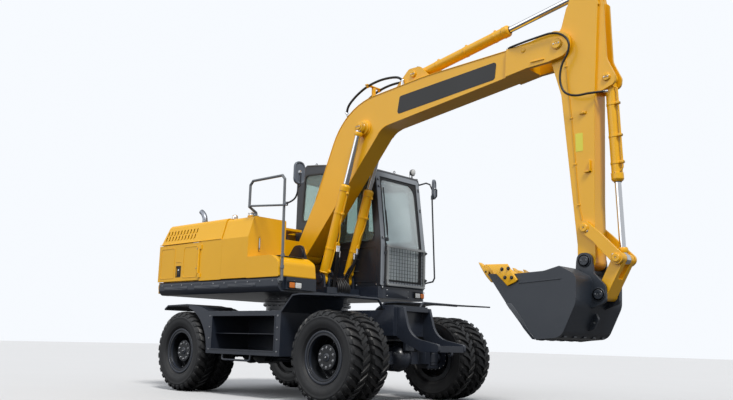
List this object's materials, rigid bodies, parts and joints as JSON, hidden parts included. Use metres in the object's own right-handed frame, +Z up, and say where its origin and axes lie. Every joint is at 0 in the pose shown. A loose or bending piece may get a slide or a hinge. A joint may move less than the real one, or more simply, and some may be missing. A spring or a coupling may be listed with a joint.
{
  "type": "wheeled excavator",
  "caption": "Yellow and grey wheeled excavator with twin tyres, a cab on the left, a bent boom with arm and bucket, an engine bay at the rear and folding doors.",
  "frame": {"origin": "on the ground, in the middle of the machine's width and of its length with the arm as in the picture", "axes": "+X forwards to the bucket, +Y to the machine's left (the cab side), +Z up"},
  "size_m": [6.5527, 2.5843, 4.5724],
  "materials": {
    "paint_yellow": "semi-gloss, light dust",
    "paint_grey": "semi-gloss, dusty",
    "cab_grey": "satin",
    "rail_grey": "semi-gloss",
    "tyre": "matte, dusty",
    "rod_chrome": "polished",
    "glass": "clear, light green",
    "trim_black": "matte",
    "engine_cast": "rough",
    "exhaust_steel": "satin",
    "lamp_clear": "clear",
    "hose_rubber": "matte"
  },
  "bodies": {
    "chassis": {"chassis": "paint_grey", "side_boxes": "paint_grey", "front_axle": "paint_grey", "rear_axle": "paint_grey", "transmission": "paint_grey"},
    "knuckle_right": {"knuckle_right": "paint_grey"},
    "knuckle_left": {"knuckle_left": "paint_grey"},
    "steering_rod": {"steering_rod": "rod_chrome"},
    "wheel_front_right": {"tyres_front_right": "tyre", "rims_front_right": "paint_grey"},
    "wheel_front_left": {"tyres_front_left": "tyre", "rims_front_left": "paint_grey"},
    "wheel_rear_right": {"tyres_rear_right": "tyre", "rims_rear_right": "paint_grey"},
    "wheel_rear_left": {"tyres_rear_left": "tyre", "rims_rear_left": "paint_grey"},
    "upper": {"upper_frame": "paint_grey", "counterweight": "paint_yellow", "engine_bay": "paint_yellow", "engine": "engine_cast", "tank": "paint_yellow", "front_box": "paint_yellow", "cab_shell": "cab_grey", "cab_glass": "glass", "cab_interior": "trim_black", "handrail": "rail_grey", "grab_rail": "rail_grey", "mirrors": "trim_black", "lamps": "lamp_clear"},
    "bonnet": {"bonnet": "paint_yellow", "exhaust": "exhaust_steel"},
    "engine_door": {"engine_door": "paint_yellow"},
    "cooler_door": {"cooler_door": "paint_yellow"},
    "cab_door": {"cab_door": "cab_grey", "door_glass": "glass"},
    "front_guard": {"front_guard": "cab_grey"},
    "boom": {"boom": "paint_yellow", "hoses": "hose_rubber"},
    "boom_barrels": {"boom_barrels": "paint_yellow"},
    "boom_rods": {"boom_rods": "rod_chrome"},
    "arm_barrel": {"arm_barrel": "paint_yellow"},
    "arm_rod": {"arm_rod": "rod_chrome"},
    "arm": {"arm": "paint_yellow"},
    "bucket_barrel": {"bucket_barrel": "paint_yellow"},
    "bucket_rod": {"bucket_rod": "rod_chrome"},
    "rocker": {"rocker": "paint_yellow"},
    "bucket_link": {"bucket_link": "paint_yellow"},
    "bucket": {"bucket": "paint_grey", "teeth": "paint_yellow"}
  },
  "joints": [
    {"name": "steer_left", "type": "hinge", "parent": "chassis", "child": "knuckle_left", "pos_m": [0.2875, 0.7, 0.522], "axis": [0, 0, 1], "range_deg": [-25, 25]},
    {"name": "steer_right", "type": "hinge", "parent": "chassis", "child": "knuckle_right", "pos_m": [0.2875, -0.7, 0.522], "axis": [0, 0, 1], "range_deg": [-25.5, 25.5]},
    {"name": "steer_slide", "type": "slide", "parent": "chassis", "child": "steering_rod", "axis": [0, -1, 0], "range_m": [-0.09, 0.09]},
    {"name": "wheel_spin_front_right", "type": "hinge", "parent": "knuckle_right", "child": "wheel_front_right", "pos_m": [0.2875, -0.977, 0.522], "axis": [0, 1, 0], "continuous": true},
    {"name": "wheel_spin_front_left", "type": "hinge", "parent": "knuckle_left", "child": "wheel_front_left", "pos_m": [0.2875, 0.977, 0.522], "axis": [0, 1, 0], "continuous": true},
    {"name": "wheel_spin_rear_right", "type": "hinge", "parent": "chassis", "child": "wheel_rear_right", "pos_m": [-2.4725, -0.977, 0.522], "axis": [0, 1, 0], "continuous": true},
    {"name": "wheel_spin_rear_left", "type": "hinge", "parent": "chassis", "child": "wheel_rear_left", "pos_m": [-2.4725, 0.977, 0.522], "axis": [0, 1, 0], "continuous": true},
    {"name": "slew", "type": "hinge", "parent": "chassis", "child": "upper", "pos_m": [-1.3425, 0, 1.19], "axis": [0, 0, 1], "continuous": true},
    {"name": "bonnet_lift", "type": "hinge", "parent": "upper", "child": "bonnet", "pos_m": [-3.1325, 0, 2.19], "axis": [0, -1, 0], "range_deg": [0, 55]},
    {"name": "engine_door_open", "type": "hinge", "parent": "upper", "child": "engine_door", "pos_m": [-2.2015, -1.228, 1.71], "axis": [0, 0, 1], "range_deg": [0, 100]},
    {"name": "cooler_door_open", "type": "hinge", "parent": "upper", "child": "cooler_door", "pos_m": [-3.1685, 1.228, 1.71], "axis": [0, 0, 1], "range_deg": [0, 110]},
    {"name": "cab_door_open", "type": "hinge", "parent": "upper", "child": "cab_door", "pos_m": [-1.5225, 1.284, 2.28], "axis": [0, 0, 1], "range_deg": [0, 160]},
    {"name": "guard_open", "type": "hinge", "parent": "upper", "child": "front_guard", "pos_m": [-0.2585, 0.384, 1.71], "axis": [0, 0, -1], "range_deg": [0, 90]},
    {"name": "boom_lift", "type": "hinge", "parent": "upper", "child": "boom", "pos_m": [-1.3625, 0, 1.86], "axis": [0, -1, 0], "range_deg": [-56, 48]},
    {"name": "boom_barrel_swing", "type": "hinge", "parent": "upper", "child": "boom_barrels", "pos_m": [-0.8225, 0, 1.496], "axis": [0, -1, 0], "range_deg": [-55, 47]},
    {"name": "boom_rod_slide", "type": "slide", "parent": "boom_barrels", "child": "boom_rods", "axis": [0.2941, 0, 0.9558], "range_m": [-0.57, 0.49]},
    {"name": "arm_swing", "type": "hinge", "parent": "boom", "child": "arm", "pos_m": [2.6225, 0, 3.9], "axis": [0, 1, 0], "range_deg": [-80, 30.5]},
    {"name": "arm_barrel_swing", "type": "hinge", "parent": "boom", "child": "arm_barrel", "pos_m": [0.5675, 0, 4.045], "axis": [0, 1, 0], "range_deg": [-4, 2]},
    {"name": "arm_rod_slide", "type": "slide", "parent": "arm_barrel", "child": "arm_rod", "axis": [0.9831, 0, 0.1833], "range_m": [-0.79, 0.31]},
    {"name": "bucket_curl", "type": "hinge", "parent": "arm", "child": "bucket", "pos_m": [2.8725, 0, 1.553], "axis": [0, 1, 0], "range_deg": [-120, 25]},
    {"name": "rocker_swing", "type": "hinge", "parent": "arm", "child": "rocker", "pos_m": [2.8725, 0, 1.885], "axis": [0, 1, 0], "range_deg": [-90, 20]},
    {"name": "link_swing", "type": "hinge", "parent": "bucket", "child": "bucket_link", "pos_m": [3.0155, 0, 1.215], "axis": [0, 1, 0], "range_deg": [-21, 97]},
    {"name": "bucket_barrel_swing", "type": "hinge", "parent": "arm", "child": "bucket_barrel", "pos_m": [3.1325, 0, 3.435], "axis": [0, 1, 0], "range_deg": [-4, 1]},
    {"name": "bucket_rod_slide", "type": "slide", "parent": "bucket_barrel", "child": "bucket_rod", "axis": [0.0385, 0, -0.9993], "range_m": [-0.64, 0.14]}
  ],
  "couplings": [
    {"joint": "steer_right", "follows": "steer_left", "ratio": 1},
    {"joint": "steer_slide", "follows": "steer_left", "m_per_rad": 0.2},
    {"joint": "boom_barrel_swing", "follows": "boom_lift", "ratio": 0.9673},
    {"joint": "boom_rod_slide", "follows": "boom_lift", "m_per_rad": 0.56684},
    {"joint": "arm_barrel_swing", "follows": "arm_swing", "ratio": 0.0457},
    {"joint": "arm_rod_slide", "follows": "arm_swing", "m_per_rad": 0.55722},
    {"joint": "rocker_swing", "follows": "bucket_curl", "ratio": 0.72},
    {"joint": "link_swing", "follows": "bucket_curl", "ratio": -0.8},
    {"joint": "bucket_barrel_swing", "follows": "bucket_curl", "ratio": 0.03},
    {"joint": "bucket_rod_slide", "follows": "bucket_curl", "m_per_rad": 0.3}
  ]
}
